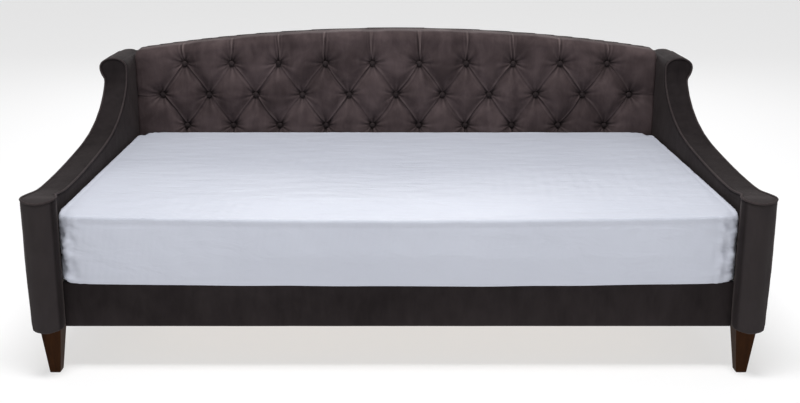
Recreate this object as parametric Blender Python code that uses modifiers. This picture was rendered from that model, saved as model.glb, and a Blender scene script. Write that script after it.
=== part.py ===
"""Daybed with sweeping scroll arms, a button-tufted arched back and a twin mattress.

Metres, +Z up.  X runs along the bed, the open front faces -Y and the floor is z = 0.
Every distance "from the front" starts at the noses of the two front posts.
"""

import math

import bmesh
import bpy
from mathutils import Matrix, Vector
from mathutils.geometry import interpolate_bezier

# ------------------------------------------------------------------ fits
GAP = 0.0003                    # between faces that touch
MATTRESS_CLEARANCE = 0.010      # mattress to arm, each end, and mattress to back
BORE_CLEARANCE = 0.0004         # around bolts
CUTTER_REACH = 0.100            # how far a cutter runs past what it cuts

# ------------------------------------------------------------------ mattress and sheet
MATTRESS_LENGTH = 1.905
MATTRESS_WIDTH = 0.990
MATTRESS_THICK = 0.198
MATTRESS_CORNER = 0.080         # plan radius
MATTRESS_EDGE = 0.022           # radius of the top and bottom edges
SHEET_THICK = 0.0015
SHEET_HEM = 0.060               # turned in under the mattress

# ------------------------------------------------------------------ overall
DECK = 0.268                    # top of the slats
LEG_HEIGHT = 0.140
MATTRESS_SETBACK = 0.055        # mattress front, from the front

# ------------------------------------------------------------------ arms
INNER_PAD = 0.020
ARM_CORE = 0.032
OUTER_PAD = 0.0234
BAND = 0.020                    # padding over the arm's top edge
SCROLL_HALF = 0.047             # half the scroll's width
SCROLL_RISE = 0.033             # scroll above its widest level, and below it
SCROLL_FALL = 0.050
SCROLL_HEIGHT = 0.7345          # where the scroll is widest
SCROLL_DROP = 0.034             # flat underside of the scroll padding, below the widest level
SCROLL_LENGTH = 0.210           # behind the facing's padding
SWEEP_LENGTH = 0.325            # where the arm climbs to the facing
TAPER_HEIGHT = 0.360            # below this the outer face leans in
TAPER = 0.014
FOOT_RADIUS = 0.012             # bottom outer corner
PIPING_RADIUS = 0.003

# ------------------------------------------------------------------ front posts
POST_DEPTH = 0.1066
POST_BULGE = 0.0205             # how far the post swells inward past the arm's inner face
BLOCK_SETBACK = 0.030
BLOCK_WIDTH = 0.050
BLOCK_COVER = 0.0225            # post padding outside the block

# ------------------------------------------------------------------ back
BACK_SHOULDER = 0.774           # arched top at its ends
ARCH_RISE = 0.074
TUFTED_PAD = 0.060
BACK_BOARD = 0.012
BACK_RAIL = 0.038
OUTSIDE_BACK = 0.0141
TOP_PAD = 0.020
TOP_RAIL_HEIGHT = 0.060
BOTTOM_RAIL_HEIGHT = 0.100
STILE_WIDTH = 0.060
STILE_INSET = 0.008             # outer stiles in from the ends of the rails

# ------------------------------------------------------------------ buttons
TOP_ROW_DROP = 0.048            # top row under the arch's ends
ROW_STEP = 0.1175
BUTTON_PITCH = 0.174
BUTTON_MARGIN = 0.085           # least distance from the ends of the pad
BUTTON_RADIUS = 0.011
BUTTON_THICK = 0.006
BUTTON_RIM = 0.003              # straight edge behind the dome
DIMPLE_MOUTH = 0.028
DIMPLE_FLOOR = 0.0125
DIMPLE_DEPTH = 0.0185
SHANK_RADIUS = 0.003
SHANK_HOLE = 0.0036
TWINE_RADIUS = 0.0015
TWINE_GROOVE = 0.0042           # depth of the grooves behind the board
TWINE_GROOVE_HALF = 0.005       # half their height

# ------------------------------------------------------------------ front rail and deck
RAIL_SETBACK = 0.075
RAIL_BOTTOM = 0.132
RAIL_BOARD = 0.025
RAIL_COVER = 0.0067
RAIL_EDGE = 0.005
RAIL_END_GAP = 0.0015
LEDGER = 0.025
SLAT_COUNT = 12
SLAT_WIDTH = 0.068
SLAT_THICK = 0.018
SLAT_END_INSET = 0.030          # outer slats in from the mattress ends
SLAT_END_CLEARANCE = 0.0045
SLAT_SEAT = 0.015               # how far a slat lies on the rear ledger
BEAM_WIDTH = 0.025
BEAM_HEIGHT = 0.050
CENTRE_LEG = 0.040
BRACKET_THICK = 0.0025
BRACKET_ARM = 0.040
BRACKET_HEIGHT = 0.060

# ------------------------------------------------------------------ legs
LEG_TOP = 0.058
LEG_FOOT = 0.030
LEG_EDGE = 0.002
FRONT_LEG_OFFSET = -0.010       # leg centre, outward from the middle of the post block
REAR_LEG_OFFSET = -0.0068       # leg centre, outward from the middle of the arm frame
LEG_SETBACK = 0.068             # leg centre from the front, and from the back
BOLT_RADIUS = 0.004
BOLT_HALF = 0.038
BOLT_POCKET = 0.0020            # bore left free past each end of a bolt

# ------------------------------------------------------------------ worked out
INNER_FACE = MATTRESS_LENGTH / 2 + MATTRESS_CLEARANCE
CORE_IN = INNER_FACE + INNER_PAD + GAP
CORE_OUT = CORE_IN + ARM_CORE
OUTER_FACE = CORE_OUT + GAP + OUTER_PAD
BLOCK_OUT = OUTER_FACE - BLOCK_COVER
BLOCK_IN = BLOCK_OUT - BLOCK_WIDTH
SCROLL_X = INNER_FACE + SCROLL_HALF
BODY_BOTTOM = LEG_HEIGHT + GAP
MATTRESS_BACK = MATTRESS_SETBACK + MATTRESS_WIDTH
BACK_FRONT = MATTRESS_BACK + MATTRESS_CLEARANCE
BOARD_FRONT = BACK_FRONT + TUFTED_PAD + GAP
BOARD_BACK = BOARD_FRONT + BACK_BOARD
RAIL_FRONT = BOARD_BACK + GAP
FRAME_BACK = RAIL_FRONT + BACK_RAIL
DEPTH = FRAME_BACK + GAP + OUTSIDE_BACK
FACING = FRAME_BACK - SCROLL_LENGTH - GAP - BAND
SCROLL_BASE = SCROLL_HEIGHT - SCROLL_DROP
BACK_HALF = INNER_FACE - GAP
SHEET_BOTTOM = DECK + GAP
MATTRESS_BOTTOM = SHEET_BOTTOM + SHEET_THICK + GAP
MATTRESS_TOP = MATTRESS_BOTTOM + MATTRESS_THICK
SLAT_BOTTOM = DECK - SLAT_THICK
UNDER_SLATS = SLAT_BOTTOM - GAP
ABOVE_DECK = DECK + 2 * GAP
BOARD_REAR_FACE = RAIL_SETBACK + RAIL_COVER + GAP + RAIL_BOARD
RAIL_TOP = DECK - GAP
BUTTON_SEAT = BACK_FRONT + DIMPLE_DEPTH - GAP
TWINE_Y = BOARD_BACK + GAP + TWINE_RADIUS
BACK_CROWN = BACK_SHOULDER + ARCH_RISE
ARCH_RADIUS = (INNER_FACE ** 2 + ARCH_RISE ** 2) / (2 * ARCH_RISE)
SLAT_FRONT = BOARD_REAR_FACE + SLAT_END_CLEARANCE
SLAT_BACK = BOARD_FRONT - LEDGER + SLAT_SEAT
BEAM_MIDDLE = (SLAT_FRONT + SLAT_BACK) / 2
TOP_ROW = BACK_SHOULDER - TOP_ROW_DROP
BUTTON_ROWS = {"top": TOP_ROW, "middle": TOP_ROW - ROW_STEP, "bottom": TOP_ROW - 2 * ROW_STEP}
FRONT_LEG_X = (BLOCK_IN + BLOCK_OUT) / 2 + FRONT_LEG_OFFSET
REAR_LEG_X = (CORE_IN + CORE_OUT) / 2 + REAR_LEG_OFFSET

# top line of the arm: from the front, height, direction in degrees, handles before and after
ARM_LINE = (
    (0.000, 0.5190, 6.0, 0.000, 0.015),
    (0.050, 0.5215, -3.0, 0.015, 0.050),
    (0.210, 0.5025, 0.0, 0.050, 0.140),
    (FACING - SWEEP_LENGTH, 0.5285, 5.7, 0.140, 0.200),
    (FACING, 0.7150, 90.0, 0.070, 0.000),
)

SIDES = {"left": -1, "right": 1}

# ------------------------------------------------------------------ materials
VELVET = (0.040, 0.030, 0.031)
SOFTWOOD = (0.62, 0.45, 0.27)
PLYWOOD = (0.66, 0.51, 0.33)
LEG_STAIN = (0.030, 0.014, 0.008)
STEEL = (0.55, 0.56, 0.58)
COTTON = (0.66, 0.69, 0.78)
TICKING = (0.80, 0.79, 0.75)


# ------------------------------------------------------------------ scene helpers
def clear_scene():
    """Remove every object, so that the build starts empty."""
    for old in list(bpy.data.objects):
        bpy.data.objects.remove(old, do_unlink=True)


def new_collection(name):
    """A collection linked to the scene."""
    collection = bpy.data.collections.new(name)
    bpy.context.scene.collection.children.link(collection)
    return collection


def new_empty(name, location, parent=None):
    """An empty that carries the pieces placed about it."""
    empty = bpy.data.objects.new(name, None)
    empty.location = location
    empty.parent = parent
    PARTS.objects.link(empty)
    return empty


def material(name, colour, roughness, metallic=0.0):
    """A Principled material of one colour."""
    made = bpy.data.materials.new(name)
    made.use_nodes = True
    shader = made.node_tree.nodes["Principled BSDF"]
    shader.inputs["Base Color"].default_value = (*colour, 1.0)
    shader.inputs["Roughness"].default_value = roughness
    shader.inputs["Metallic"].default_value = metallic
    return made


def add_part(name, mesh, colour, roughness, metallic=0.0):
    """Make a mesh a named part of the daybed."""
    part = bpy.data.objects.new(name, mesh)
    mesh.name = name
    mesh.materials.append(material(name + "_material", colour, roughness, metallic))
    part.parent = ORIGIN
    PARTS.objects.link(part)
    return part


def add_cutter(name, mesh):
    """Make a mesh a cutter, which isn't a part."""
    cutter = bpy.data.objects.new(name, mesh)
    cutter.parent = ORIGIN
    cutter.hide_render = True
    cutter.display_type = "WIRE"
    CUTTERS.objects.link(cutter)
    return cutter


def boolean(part, operation, other):
    """Cut, join or intersect a part with another object."""
    modifier = part.modifiers.new(operation.title(), "BOOLEAN")
    modifier.operation = operation
    modifier.solver = "EXACT"
    modifier.object = other


def bevel(part, width, segments=1):
    """Round the sharp edges of a part."""
    modifier = part.modifiers.new("Bevel", "BEVEL")
    modifier.width = width
    modifier.segments = segments
    modifier.limit_method = "ANGLE"
    modifier.angle_limit = math.radians(40)


# ------------------------------------------------------------------ mesh helpers
def evaluated_mesh(maker, matrix):
    """The mesh of a finished curve or modifier object, welded, with its faces pointing out."""
    CUTTERS.objects.link(maker)
    bpy.context.view_layer.update()
    graph = bpy.context.evaluated_depsgraph_get()
    mesh = bpy.data.meshes.new_from_object(maker.evaluated_get(graph))
    bpy.data.objects.remove(maker, do_unlink=True)
    mesh.transform(matrix)
    work = bmesh.new()
    work.from_mesh(mesh)
    bmesh.ops.remove_doubles(work, verts=work.verts, dist=0.00001)
    bmesh.ops.recalc_face_normals(work, faces=work.faces)
    work.to_mesh(mesh)
    work.free()
    return mesh


def polyline_curve(points, dimensions, cyclic):
    """Curve data of straight runs through the points."""
    curve = bpy.data.curves.new("line", "CURVE")
    curve.dimensions = dimensions
    spline = curve.splines.new("POLY")
    spline.points.add(len(points) - 1)
    for slot, point in zip(spline.points, points):
        slot.co = (*point, *([0.0] * (3 - len(point))), 1.0)
    spline.use_cyclic_u = cyclic
    return curve


PLANES = {
    "XY": Matrix.Identity(4),
    "XZ": Matrix.Rotation(math.pi / 2, 4, "X"),
    "YZ": Matrix(((0, 0, 1, 0), (1, 0, 0, 0), (0, 1, 0, 0), (0, 0, 0, 1))),
}
PUSH_AXIS = {"XY": Vector((0, 0, 1)), "XZ": Vector((0, 1, 0)), "YZ": Vector((1, 0, 0))}


def pushed_outline(outline, plane, start, end, rounding=0.0):
    """A flat outline in a plane, made solid between two places along the plane's normal."""
    curve = polyline_curve(outline, "2D", True)
    curve.fill_mode = "BOTH"
    curve.extrude = abs(end - start) / 2 - rounding
    curve.bevel_depth = rounding
    curve.bevel_resolution = 1
    curve.offset = -rounding
    middle = PUSH_AXIS[plane] * (start + end) / 2
    maker = bpy.data.objects.new("maker", curve)
    return evaluated_mesh(maker, Matrix.Translation(middle) @ PLANES[plane])


def box_mesh(x, y, z):
    """A box between pairs of limits."""
    work = bmesh.new()
    bmesh.ops.create_cube(work, size=1.0)
    size = Vector((abs(x[1] - x[0]), abs(y[1] - y[0]), abs(z[1] - z[0])))
    centre = Vector((sum(x) / 2, sum(y) / 2, sum(z) / 2))
    bmesh.ops.scale(work, vec=size, verts=work.verts)
    bmesh.ops.translate(work, vec=centre, verts=work.verts)
    mesh = bpy.data.meshes.new("box")
    work.to_mesh(mesh)
    work.free()
    return mesh


def cylinder_mesh(radius, low, high, place, sides=16):
    """An upright cylinder at an (x, y) place."""
    work = bmesh.new()
    bmesh.ops.create_cone(work, cap_ends=True, segments=sides, radius1=radius,
                          radius2=radius, depth=high - low)
    bmesh.ops.translate(work, vec=(*place, (low + high) / 2), verts=work.verts)
    mesh = bpy.data.meshes.new("cylinder")
    work.to_mesh(mesh)
    work.free()
    return mesh


def tube_mesh(points, radius, sides_level=1):
    """A tube around a closed line."""
    curve = polyline_curve(points, "3D", True)
    curve.bevel_depth = radius
    curve.bevel_resolution = sides_level
    return evaluated_mesh(bpy.data.objects.new("maker", curve), Matrix.Identity(4))


def turned_mesh(profile, steps=8):
    """A shape turned about the Y axis, from a (radius, y) profile that starts and ends on it."""
    mesh = bpy.data.meshes.new("profile")
    edges = [(i, i + 1) for i in range(len(profile) - 1)]
    mesh.from_pydata([(radius, y, 0.0) for radius, y in profile], edges, [])
    maker = bpy.data.objects.new("maker", mesh)
    screw = maker.modifiers.new("Screw", "SCREW")
    screw.axis = "Y"
    screw.steps = steps
    screw.render_steps = steps
    screw.use_merge_vertices = True
    screw.merge_threshold = 0.00001
    return evaluated_mesh(maker, Matrix.Identity(4))


def placed_copies(mesh, places):
    """One mesh that holds a copy of another at each (x, z) place."""
    work = bmesh.new()
    for x, z in places:
        copy = mesh.copy()
        copy.transform(Matrix.Translation((x, 0.0, z)))
        work.from_mesh(copy)
        bpy.data.meshes.remove(copy)
    joined = bpy.data.meshes.new("copies")
    work.to_mesh(joined)
    work.free()
    return joined


# ------------------------------------------------------------------ outlines
def arc(centre, radius, start, end, count):
    """Points on an arc, angles in degrees."""
    angles = [math.radians(start + (end - start) * i / count) for i in range(count + 1)]
    return [(centre[0] + radius * math.cos(a), centre[1] + radius * math.sin(a)) for a in angles]


def handled_line(knots, steps):
    """Points on a smooth line through knots of (u, v, direction, handle before, handle after)."""
    points = []
    for first, second in zip(knots, knots[1:]):
        ends = [Vector((knot[0], knot[1], 0.0)) for knot in (first, second)]
        ways = [Vector((math.cos(math.radians(knot[2])), math.sin(math.radians(knot[2])), 0.0))
                for knot in (first, second)]
        handles = (ends[0] + ways[0] * first[4], ends[1] - ways[1] * second[3])
        run = interpolate_bezier(ends[0], handles[0], handles[1], ends[1], steps + 1)
        points += [(point.x, point.y) for point in run[:-1]]
    points.append((knots[-1][0], knots[-1][1]))
    return points


def sunk_line(line, depth):
    """A line moved square to itself, to the right of the way that it runs."""
    moved = []
    for i, (u, v) in enumerate(line):
        before = Vector(line[max(i - 1, 0)])
        after = Vector(line[min(i + 1, len(line) - 1)])
        way = (after - before).normalized()
        moved.append((u + way.y * depth, v - way.x * depth))
    return moved


def height_at(line, place):
    """The height of a line that rises or falls along its first coordinate."""
    for (u0, v0), (u1, v1) in zip(line, line[1:]):
        if u0 <= place <= u1:
            return v0 + (v1 - v0) * (place - u0) / (u1 - u0)
    return line[0][1] if place < line[0][0] else line[-1][1]


def mirrored(outline, side):
    """An outline whose first coordinate is X, moved to a side of the bed."""
    return [(side * point[0], *point[1:]) for point in outline]


ARM_TOP = handled_line(ARM_LINE, 6)
UNDER_BAND = sunk_line(ARM_TOP, BAND + GAP)


def arch_height(x):
    """Height of the back's arched top."""
    return BACK_CROWN - ARCH_RADIUS + math.sqrt(ARCH_RADIUS ** 2 - x ** 2)


def arch_line(drop, count=18):
    """The back's arched top from left to right, moved down by a drop."""
    places = [BACK_HALF * (2 * i / count - 1) for i in range(count + 1)]
    return [(x, arch_height(x) - drop) for x in places]


def nose_line():
    """Plan of the front post's nose, from the outer face forward and round to the inner."""
    bulge = INNER_FACE - POST_BULGE
    knots = (
        (OUTER_FACE, POST_DEPTH, -90.0, 0.0, 0.020),
        (OUTER_FACE, 0.055, -90.0, 0.020, 0.030),
        (bulge + 0.040, 0.000, 180.0, 0.024, 0.018),
        (bulge, 0.045, 90.0, 0.024, 0.020),
        (INNER_FACE, POST_DEPTH, 62.0, 0.020, 0.0),
    )
    return handled_line(knots, 5)


def post_inside_at(place):
    """X of the post's inner face at a distance from the front, behind the widest of its bulge."""
    inner = [(y, x) for x, y in nose_line()[-6:]]
    return height_at(inner, place)


RAIL_HALF = post_inside_at(RAIL_SETBACK) - RAIL_END_GAP


def outer_edge():
    """Front view of the arm's outer side, from the bottom up to the neck of the scroll."""
    lean = math.atan2(TAPER, TAPER_HEIGHT - BODY_BOTTOM)
    foot = (OUTER_FACE - TAPER - FOOT_RADIUS, BODY_BOTTOM + FOOT_RADIUS)
    corner = arc(foot, FOOT_RADIUS, -90.0, -math.degrees(lean), 4)
    return corner + [(OUTER_FACE, TAPER_HEIGHT)]


def scroll_arc(start, end, count):
    """Part of the scroll's front view: flatter above its widest level than below it."""
    unit = arc((0.0, 0.0), 1.0, start, end, count)
    return [(SCROLL_X + SCROLL_HALF * u, SCROLL_HEIGHT + (SCROLL_RISE if v > 0 else SCROLL_FALL) * v)
            for u, v in unit]


NECK_ANGLE = -math.degrees(math.acos((OUTER_FACE - SCROLL_X) / SCROLL_HALF))
BASE_ANGLE = -math.degrees(math.asin(SCROLL_DROP / SCROLL_FALL))


# ------------------------------------------------------------------ arms
def arm_section():
    """Front view that trims the arm: tapered foot, straight side and scroll."""
    inside = INNER_FACE - POST_BULGE - BAND
    return ([(inside, BODY_BOTTOM)] + outer_edge() + scroll_arc(NECK_ANGLE, 180.0, 12)
            + [(inside, SCROLL_HEIGHT)])


def arm_plan():
    """Plan that trims the arm: the nose in front, then an even thickness."""
    flare = OUTER_FACE + SCROLL_HALF
    rear = [(INNER_FACE, DEPTH), (flare, DEPTH), (flare, POST_DEPTH + CUTTER_REACH)]
    return nose_line() + rear


def under_band(start, end, bottom):
    """Side view of a piece under the arm's band, between two distances from the front."""
    top = [(start, height_at(UNDER_BAND, start))]
    top += [(y, z) for y, z in UNDER_BAND if start < y < end and z < SCROLL_BASE - GAP]
    if end > FACING:
        shelf = SCROLL_BASE - GAP
        top += [(FACING + BAND + GAP, shelf), (end, shelf)]
    else:
        top.append((end, height_at(UNDER_BAND, end)))
    return [(end, bottom), (start, bottom)] + top


def band_side():
    """Side view of the band: the strip along the arm's top line and up the scroll's facing."""
    under = sunk_line(ARM_TOP, BAND)
    front = [(-CUTTER_REACH, under[0][1]), (-CUTTER_REACH, ARM_TOP[0][1])]
    top = [(FACING, BACK_CROWN), (FACING + BAND, BACK_CROWN)]
    return front + ARM_TOP + top + under[::-1]


def front_at(height):
    """Distance from the front of the arm's rising line at a height."""
    rising = [(z, y) for y, z in ARM_TOP if y > ARM_LINE[3][0]]
    return height_at(rising, height)


def piping_line():
    """The closed corner line of the band, which the piping follows."""
    outer = [(OUTER_FACE, y, z) for y, z in ARM_TOP if y > POST_DEPTH]
    inner = [(INNER_FACE, y, z) for y, z in ARM_TOP if y > POST_DEPTH]
    head = [(x, front_at(z), z) for x, z in scroll_arc(NECK_ANGLE, 180.0, 12)]
    outer = [point for point in outer if point[2] < head[0][2] - PIPING_RADIUS]
    nose = [(x, y, height_at(ARM_TOP, y)) for x, y in nose_line()]
    return outer + head + inner[::-1] + nose[::-1]


def build_arm(name, side):
    """One arm: core, pads, band, scroll, front post and piping.  Returns what the legs bolt to."""
    plan_mesh = pushed_outline(mirrored(arm_plan(), side), "XY", 0.0, BACK_CROWN)
    plan = add_cutter("arm_plan_" + name, plan_mesh)
    section_mesh = pushed_outline(mirrored(arm_section(), side), "XZ", -CUTTER_REACH, DEPTH)
    section = add_cutter("arm_section_" + name, section_mesh)
    line = [(side * x, y, z) for x, y, z in piping_line()]
    groove = add_cutter("piping_groove_" + name, tube_mesh(line, PIPING_RADIUS + GAP))

    behind_post = POST_DEPTH + GAP
    core_side = under_band(behind_post, FRAME_BACK, BODY_BOTTOM)
    core = pushed_outline(core_side, "YZ", side * CORE_IN, side * CORE_OUT)
    frame = add_part("arm_frame_" + name, core, SOFTWOOD, 0.6)

    pad_side = under_band(behind_post, FRAME_BACK, SLAT_BOTTOM + GAP)
    inner = pushed_outline(pad_side, "YZ", side * INNER_FACE, side * (CORE_IN - GAP))
    add_part("arm_inner_pad_" + name, inner, VELVET, 0.85)

    outer = pushed_outline(core_side, "YZ", side * (CORE_OUT + GAP), side * OUTER_FACE)
    outer_pad = add_part("arm_outer_pad_" + name, outer, VELVET, 0.85)
    boolean(outer_pad, "INTERSECT", section)

    reach = OUTER_FACE + SCROLL_HALF
    strip = pushed_outline(band_side(), "YZ", side * (INNER_FACE - BAND - POST_BULGE), side * reach)
    band = add_part("arm_top_pad_" + name, strip, VELVET, 0.85)
    boolean(band, "INTERSECT", plan)
    boolean(band, "INTERSECT", section)
    boolean(band, "DIFFERENCE", groove)

    head = [(INNER_FACE, SCROLL_BASE)] + scroll_arc(BASE_ANGLE, 180.0, 12)[::-1]
    roll = pushed_outline(mirrored(head, side), "XZ", FACING + BAND + GAP, FRAME_BACK)
    add_part("arm_roll_" + name, roll, VELVET, 0.85)

    add_part("arm_piping_" + name, tube_mesh(line, PIPING_RADIUS), VELVET, 0.8)
    block = build_post(name, side, plan, section)
    return frame, block


def build_post(name, side, plan, section):
    """The padded front post and the hardwood block inside it, which is returned."""
    block_x = (side * BLOCK_IN, side * BLOCK_OUT)
    block_side = under_band(BLOCK_SETBACK, POST_DEPTH, BODY_BOTTOM)
    block = add_part("post_block_" + name, pushed_outline(block_side, "YZ", *block_x), SOFTWOOD, 0.6)

    pocket_x = (block_x[0] - side * GAP, block_x[1] + side * GAP)
    pocket_y = (BLOCK_SETBACK - GAP, POST_DEPTH + BAND)
    pocket = add_cutter("post_pocket_" + name, box_mesh(pocket_x, pocket_y, (0.0, BACK_CROWN)))

    post_side = under_band(-PIPING_RADIUS, POST_DEPTH, BODY_BOTTOM)
    post_x = (side * (INNER_FACE - 2 * POST_BULGE), side * (OUTER_FACE + BAND))
    pad = add_part("post_pad_" + name, pushed_outline(post_side, "YZ", *post_x), VELVET, 0.85)
    boolean(pad, "INTERSECT", plan)
    boolean(pad, "INTERSECT", section)
    boolean(pad, "DIFFERENCE", pocket)
    return block


# ------------------------------------------------------------------ legs
def build_leg(name, place, holder):
    """A tapered leg and the hanger bolt that holds it to the block or frame above it."""
    work = bmesh.new()
    bmesh.ops.create_cone(work, cap_ends=True, segments=4, depth=LEG_HEIGHT,
                          radius1=LEG_FOOT / math.sqrt(2), radius2=LEG_TOP / math.sqrt(2))
    turn = Matrix.Rotation(math.pi / 4, 3, "Z")
    bmesh.ops.rotate(work, cent=(0, 0, 0), matrix=turn, verts=work.verts)
    bmesh.ops.translate(work, vec=(*place, LEG_HEIGHT / 2), verts=work.verts)
    mesh = bpy.data.meshes.new(name)
    work.to_mesh(mesh)
    work.free()
    leg = add_part(name, mesh, LEG_STAIN, 0.35)
    bevel(leg, LEG_EDGE)

    reach = BOLT_HALF + BOLT_POCKET
    bore = cylinder_mesh(BOLT_RADIUS + BORE_CLEARANCE, LEG_HEIGHT - reach, LEG_HEIGHT + reach, place)
    cutter = add_cutter(name + "_bore", bore)
    boolean(leg, "DIFFERENCE", cutter)
    boolean(holder, "DIFFERENCE", cutter)
    bolt = cylinder_mesh(BOLT_RADIUS, LEG_HEIGHT - BOLT_HALF, LEG_HEIGHT + BOLT_HALF, place, 12)
    add_part(name.replace("leg", "leg_bolt"), bolt, STEEL, 0.35, 1.0)


# ------------------------------------------------------------------ back
def row_places(row):
    """X places of the buttons in a row; the middle row has one on the centreline."""
    first = 0.0 if row == "middle" else BUTTON_PITCH / 2
    steps = math.floor((BACK_HALF - BUTTON_MARGIN - first) / BUTTON_PITCH)
    right = [first + BUTTON_PITCH * i for i in range(steps + 1)]
    return [-x for x in right[::-1] if x > 0.0] + right


def build_buttons():
    """Three rows of buttons, each row tied through the back by its twine."""
    front = BUTTON_SEAT - BUTTON_THICK
    profile = [(0.0, front), (BUTTON_RADIUS, BUTTON_SEAT - BUTTON_RIM), (BUTTON_RADIUS, BUTTON_SEAT),
               (SHANK_RADIUS, BUTTON_SEAT), (SHANK_RADIUS, TWINE_Y), (0.0, TWINE_Y)]
    button = turned_mesh(profile)
    for row, height in BUTTON_ROWS.items():
        places = row_places(row)
        ends = (places[0] - SHANK_RADIUS, places[-1] + SHANK_RADIUS)
        limits = (TWINE_Y - TWINE_RADIUS, TWINE_Y + TWINE_RADIUS)
        heights = (height - TWINE_RADIUS, height + TWINE_RADIUS)
        twine = add_part("buttons_" + row + "_row", box_mesh(ends, limits, heights), VELVET, 0.8)
        tied = add_cutter("button_set_" + row, placed_copies(button, [(x, height) for x in places]))
        boolean(twine, "UNION", tied)


def tuft_cutter():
    """The dimples in the pad with the shank holes through pad and board."""
    clear = TWINE_GROOVE
    mouth = DIMPLE_MOUTH + (DIMPLE_MOUTH - DIMPLE_FLOOR) * clear / DIMPLE_DEPTH
    floor = BACK_FRONT + DIMPLE_DEPTH
    profile = [(0.0, BACK_FRONT - clear), (mouth, BACK_FRONT - clear), (DIMPLE_FLOOR, floor),
               (SHANK_HOLE, floor), (SHANK_HOLE, BOARD_BACK + clear), (0.0, BOARD_BACK + clear)]
    places = [(x, z) for row, z in BUTTON_ROWS.items() for x in row_places(row)]
    return add_cutter("tufting", placed_copies(turned_mesh(profile), places))


def groove_cutter():
    """Grooves across the back's frame, where the twine runs."""
    work = bmesh.new()
    for height in BUTTON_ROWS.values():
        limits = (RAIL_FRONT - TWINE_GROOVE, RAIL_FRONT + TWINE_GROOVE)
        heights = (height - TWINE_GROOVE_HALF, height + TWINE_GROOVE_HALF)
        groove = box_mesh((-INNER_FACE, INNER_FACE), limits, heights)
        work.from_mesh(groove)
        bpy.data.meshes.remove(groove)
    mesh = bpy.data.meshes.new("grooves")
    work.to_mesh(mesh)
    work.free()
    return add_cutter("twine_grooves", mesh)


def arched(low, drop):
    """Front view under the arch, from a level bottom."""
    return [(BACK_HALF, low), (-BACK_HALF, low)] + arch_line(drop)


def build_back():
    """Tufted pad, board, frame, top padding and outside back."""
    tufting = tuft_cutter()
    grooves = groove_cutter()
    under_top = TOP_PAD + GAP

    pad = pushed_outline(arched(ABOVE_DECK, under_top), "XZ", BACK_FRONT, BOARD_FRONT - GAP)
    tufted = add_part("back_tufted_pad", pad, VELVET, 0.85)
    boolean(tufted, "DIFFERENCE", tufting)
    board = pushed_outline(arched(BODY_BOTTOM, under_top), "XZ", BOARD_FRONT, BOARD_BACK)
    holed = add_part("back_board", board, PLYWOOD, 0.6)
    boolean(holed, "DIFFERENCE", tufting)

    top = arch_line(under_top) + arch_line(under_top + TOP_RAIL_HEIGHT)[::-1]
    rail = add_part("back_top_rail", pushed_outline(top, "XZ", RAIL_FRONT, FRAME_BACK), SOFTWOOD, 0.6)
    boolean(rail, "DIFFERENCE", grooves)
    bottom_top = BODY_BOTTOM + BOTTOM_RAIL_HEIGHT
    bottom = box_mesh((-BACK_HALF, BACK_HALF), (RAIL_FRONT, FRAME_BACK), (BODY_BOTTOM, bottom_top))
    add_part("back_bottom_rail", bottom, SOFTWOOD, 0.6)

    outer = BACK_HALF - STILE_INSET - STILE_WIDTH / 2
    for name, middle in (("left", -outer), ("centre", 0.0), ("right", outer)):
        half = STILE_WIDTH / 2
        under_rail = under_top + TOP_RAIL_HEIGHT + GAP
        edges = [middle - half, middle, middle + half]
        stile_top = [(x, arch_height(x) - under_rail) for x in edges]
        if name == "centre":
            stile_top = [(x, min(z for _, z in stile_top)) for x in edges]
        outline = [(edges[2], bottom_top + GAP), (edges[0], bottom_top + GAP)] + stile_top
        mesh = pushed_outline(outline, "XZ", RAIL_FRONT, FRAME_BACK)
        boolean(add_part("back_stile_" + name, mesh, SOFTWOOD, 0.6), "DIFFERENCE", grooves)

    roll = arch_line(0.0) + arch_line(TOP_PAD)[::-1]
    add_part("back_top_pad", pushed_outline(roll, "XZ", BACK_FRONT, FRAME_BACK), VELVET, 0.85)

    half = outer_edge() + scroll_arc(NECK_ANGLE, 130.0, 10)
    outline = half + arch_line(0.0)[::-1] + mirrored(half, -1)[::-1]
    cover = pushed_outline(outline, "XZ", FRAME_BACK + GAP, DEPTH)
    add_part("back_outer_cover", cover, VELVET, 0.85)


# ------------------------------------------------------------------ front rail and deck
def build_front_rail():
    """The front rail's board and the padded cover wrapped round three of its sides."""
    front = RAIL_SETBACK
    board_y = (front + RAIL_COVER + GAP, BOARD_REAR_FACE)
    board_z = (RAIL_BOTTOM + RAIL_COVER + GAP, RAIL_TOP - RAIL_COVER - GAP)
    board = box_mesh((-RAIL_HALF, RAIL_HALF), board_y, board_z)
    add_part("front_rail_board", board, SOFTWOOD, 0.6)

    low = (front + RAIL_EDGE, RAIL_BOTTOM + RAIL_EDGE)
    high = (front + RAIL_EDGE, RAIL_TOP - RAIL_EDGE)
    outside = arc(high, RAIL_EDGE, 90.0, 180.0, 4) + arc(low, RAIL_EDGE, 180.0, 270.0, 4)
    inside = [
        (BOARD_REAR_FACE, RAIL_BOTTOM),
        (BOARD_REAR_FACE, RAIL_BOTTOM + RAIL_COVER),
        (front + RAIL_COVER, RAIL_BOTTOM + RAIL_COVER),
        (front + RAIL_COVER, RAIL_TOP - RAIL_COVER),
        (BOARD_REAR_FACE, RAIL_TOP - RAIL_COVER),
        (BOARD_REAR_FACE, RAIL_TOP),
    ]
    cover = pushed_outline(outside + inside, "YZ", -RAIL_HALF, RAIL_HALF)
    add_part("front_rail_cover", cover, VELVET, 0.85)


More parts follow.
